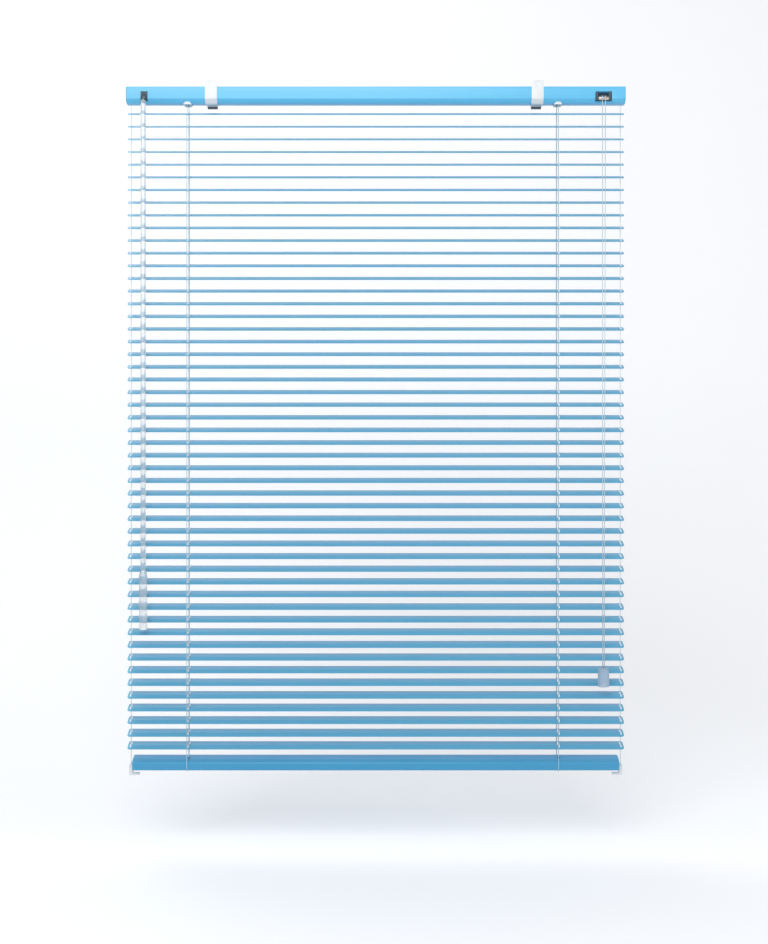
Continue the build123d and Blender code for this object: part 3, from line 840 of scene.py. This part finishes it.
for ladder, x, run_y, side in zip(("left", "right"), ladder_x, RUN_Y, (1, -1)):
    cord_x = lock_x + side * PULL_SPACING / 2
    drop_x = x + LIFT_CORD_OFFSET
    low_z = last_slat.z - CORD_SLAT_CLEARANCE
    route = [
        (cord_x, front_y, roller_z),
        (cord_x, front_y, over_z),
        (cord_x, roller_y + ROLLER_RADIUS, over_z),
        (cord_x, run_y, over_z),
        (lock_x - RUN_START, run_y, RUN_Z),
        (lock_x - RUN_START - RUN_SETTLE, run_y, RUN_Z),
        (drop_x + RUN_CORNER, middle_y, RUN_Z),
        (drop_x, middle_y, RUN_Z),
        (drop_x, middle_y, RUN_Z - RUN_CORNER),
        (drop_x, middle_y, low_z),
    ]
    add_piece(
        f"lift_cord_{ladder}",
        tube_mesh("lift_cord", [soft_line(route)], LIFT_RADIUS),
        pull_braid,
        "headrail",
        "pull_cord_braid",
        "ladders",
    )
    entry = (drop_x, *tilted(0, RAIL_HALF_HEIGHT + ENTRY_HEIGHT, rail_axis))
    tail = [
        (drop_x, middle_y, low_z),
        (drop_x, middle_y, low_z - LIFT_TAIL_STRAIGHT),
        entry,
        (drop_x, *tilted(0, RAIL_HALF_HEIGHT, rail_axis)),
        (drop_x, middle_y, rail_axis.z),
    ]
    mesh = tube_mesh("lift_tail", [soft_line(tail)], LIFT_RADIUS)
    mesh.materials.append(pull_braid)
    piece = bpy.data.objects.new(f"lift_tail_{ladder}", mesh)
    scene.collection.objects.link(piece)
    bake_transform(piece)
    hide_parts("ladders")

# %% Guide lines
rail_floor_z = rail_axis.z - hypot(2 * RAIL_HALF_WIDTH, 2 * RAIL_HALF_HEIGHT) / 2
post_top = rail_floor_z - FOOT_TOP_GAP + POST_HEIGHT
for side, label in ((-1, "left"), (1, "right")):
    x = centre_x + side * (SLAT_LENGTH / 2 - GUIDE_INSET)
    add_piece(
        f"guide_line_{label}",
        tube_mesh(
            "guide_line",
            [[Vector((x, middle_y, rail_bottom)), Vector((x, middle_y, post_top))]],
            GUIDE_RADIUS,
        ),
        guide_nylon,
        "headrail",
        "blue_cord",
        "ladders",
    )

# %% [markdown]
# ## Pull cords and tassel
# The two lift cords leave the lock over its roller and hang side by side, kept straight by the tassel
# they are knotted in. The tassel is a thin bell, turned from its profile.

# %% Pull cords
TASSEL_SHIFT = -2 * MM
TASSEL_DROP = 914 * MM
TASSEL_SPACING = 2.4 * MM
TASSEL_RADIUS = 9 * MM
TASSEL_GAP = 0.6 * MM
TASSEL_TOP = 3 * MM
TASSEL_KNOT = 2.7 * MM
tassel_x = lock_x + TASSEL_SHIFT
tassel_y = -TASSEL_RADIUS - TASSEL_GAP
tassel_z = headrail_high.z - TASSEL_DROP
knot_z = tassel_z - TASSEL_TOP - TASSEL_KNOT


LATHE_SMOOTH_ANGLE = 40


def lathe(name, profile, steps=48):
    """Turn a closed profile of (radius, height) points about Z."""
    bm = bmesh.new()
    rings = []
    for step in range(steps):
        angle = 2 * pi * step / steps
        rings.append([bm.verts.new((r * cos(angle), r * sin(angle), z)) for r, z in profile])
    for step in range(steps):
        here, after = rings[step], rings[(step + 1) % steps]
        for k in range(len(profile)):
            nxt = (k + 1) % len(profile)
            bm.faces.new((here[k], after[k], after[nxt], here[nxt]))
    bmesh.ops.recalc_face_normals(bm, faces=bm.faces)
    soften(bm, LATHE_SMOOTH_ANGLE)
    mesh = bpy.data.meshes.new(name)
    bm.to_mesh(mesh)
    bm.free()
    return mesh


def through(start, middle, end, steps=10):
    """Points on a smooth bend through three points, for a turned profile."""
    points = []
    for step in range(steps + 1):
        t = step / steps
        a, b, c = 2 * (t - 0.5) * (t - 1), -4 * t * (t - 1), 2 * t * (t - 0.5)
        points.append(tuple(a * s + b * m + c * e for s, m, e in zip(start, middle, end)))
    return points


TASSEL_PROFILE_MM = [
    (2.3, 0.0),
    *through((3.4, 0.0), (7.6, -2.0), (8.7, -6.5)),
    (9.0, -24.0),
    (8.4, -30.0),
    (6.8, -30.0),
    (7.4, -24.0),
    *through((7.1, -6.9), (6.0, -3.6), (3.4, -3.0)),
    (2.3, -3.0),
]
tassel_mesh = lathe("tassel", [(r * MM, z * MM) for r, z in TASSEL_PROFILE_MM])
tassel_mesh.transform(Matrix.Translation((tassel_x, tassel_y, tassel_z)))
tassel = add_piece("tassel", tassel_mesh, tassel_plastic, "headrail", "tassel_plastic", "pull_cord")

# %% Knot
knot_line = []
KNOT_STEPS = 60
for step in range(KNOT_STEPS + 1):
    t = 2 * pi * step / KNOT_STEPS
    reach = (TASSEL_KNOT - LIFT_RADIUS) * (2 + cos(3 * t)) / 3
    knot_line.append(
        Vector(
            (
                tassel_x + reach * cos(2 * t),
                tassel_y + reach * sin(2 * t),
                knot_z + 0.6 * (TASSEL_KNOT - LIFT_RADIUS) * sin(3 * t),
            )
        )
    )
knot = add_piece(
    "cord_knot",
    tube_mesh("knot", [knot_line], LIFT_RADIUS),
    pull_braid,
    "headrail",
    "pull_cord_braid",
    "pull_cord",
)

# %% Free cords
for side, label in ((-1, "left"), (1, "right")):
    top = Vector((lock_x + side * PULL_SPACING / 2, front_y, roller_z))
    end = Vector((tassel_x + side * TASSEL_SPACING / 2, tassel_y, knot_z))
    path = [top, end]
    pull_cord = add_piece(
        f"pull_cord_{label}",
        tube_mesh("pull_cord", [path], LIFT_RADIUS),
        pull_braid,
        "headrail",
        "pull_cord_braid",
        "pull_cord",
    )
    print("pull cord", label, round((top - end).length, 4))

# %% [markdown]
# ## Studio
# A pale floor sweeps up into a wall behind the blind. It glows a little, but only in what the camera
# sees directly, in reflections and through clear plastic, so the glow doesn't light the blind. One
# broad lamp stands in front, well above the camera. A weaker one stands at the side and another
# behind, and the world gives the rest.

# %% Floor and backdrop
FLOOR_Z = -1.22
SWEEP_BACK = 1.9
SWEEP_RADIUS = 0.7
WALL_TOP = 3.0
HALF_WIDTH = 5.0
FLOOR_FRONT = -4.5


def sweep_mesh():
    bm = bmesh.new()
    bends = arc((SWEEP_BACK - SWEEP_RADIUS, FLOOR_Z + SWEEP_RADIUS), SWEEP_RADIUS, -90, 0)
    profile = [(FLOOR_FRONT, FLOOR_Z), *bends, (SWEEP_BACK, WALL_TOP)]
    rows = [[bm.verts.new((side * HALF_WIDTH, y, z)) for side in (-1, 1)] for y, z in profile]
    for low, high in zip(rows, rows[1:]):
        face = bm.faces.new((low[0], low[1], high[1], high[0]))
        face.smooth = True
    mesh = bpy.data.meshes.new("sweep")
    bm.to_mesh(mesh)
    bm.free()
    return mesh


BACKDROP_GLOW = (0.24, 0.22, 0.20, 1)
UNLIT = (0, 0, 0, 1)
CAMERA_RAY = 0
GLOSSY_RAY = 3
TRANSMITTED_RAY = 6
paper = Finish("backdrop")
seen = (
    paper.node("ShaderNodeLightPath", output=CAMERA_RAY)
    + paper.node("ShaderNodeLightPath", output=GLOSSY_RAY)
    + paper.node("ShaderNodeLightPath", output=TRANSMITTED_RAY)
)
paper.set(
    base_color=(0.88, 0.90, 0.93, 1),
    roughness=0.9,
    emission_color=paper.mix(UNLIT, BACKDROP_GLOW, seen),
    emission_strength=1.0,
)
backdrop = bpy.data.objects.new("backdrop", sweep_mesh())
backdrop.data.materials.append(paper.material)
scene.collection.objects.link(backdrop)


# %% Lamps
WORLD_COLOUR = (0.93, 0.96, 1.0, 1)
WORLD_STRENGTH = 0.44


def lamp(name, place, aim, size, power):
    data = bpy.data.lights.new(name, "AREA")
    data.shape = "RECTANGLE"
    data.size, data.size_y = size
    data.energy = power
    light = bpy.data.objects.new(name, data)
    light.location = place
    light.rotation_euler = (Vector(aim) - Vector(place)).to_track_quat("-Z", "Y").to_euler()
    scene.collection.objects.link(light)


target = (0, 0, -0.5)
lamp("front_lamp", (-0.6, -2.9, 1.15), target, (2.6, 1.6), 64)
lamp("side_lamp", (2.6, -1.4, 0.4), target, (1.2, 2.0), 12)
lamp("back_lamp", (-1.2, 1.2, 1.6), (0, 1.2, -1.0), (2.0, 1.2), 15)

world = bpy.data.worlds.new("studio")
world.use_nodes = True
world.node_tree.nodes["Background"].inputs["Color"].default_value = WORLD_COLOUR
world.node_tree.nodes["Background"].inputs["Strength"].default_value = WORLD_STRENGTH
scene.world = world
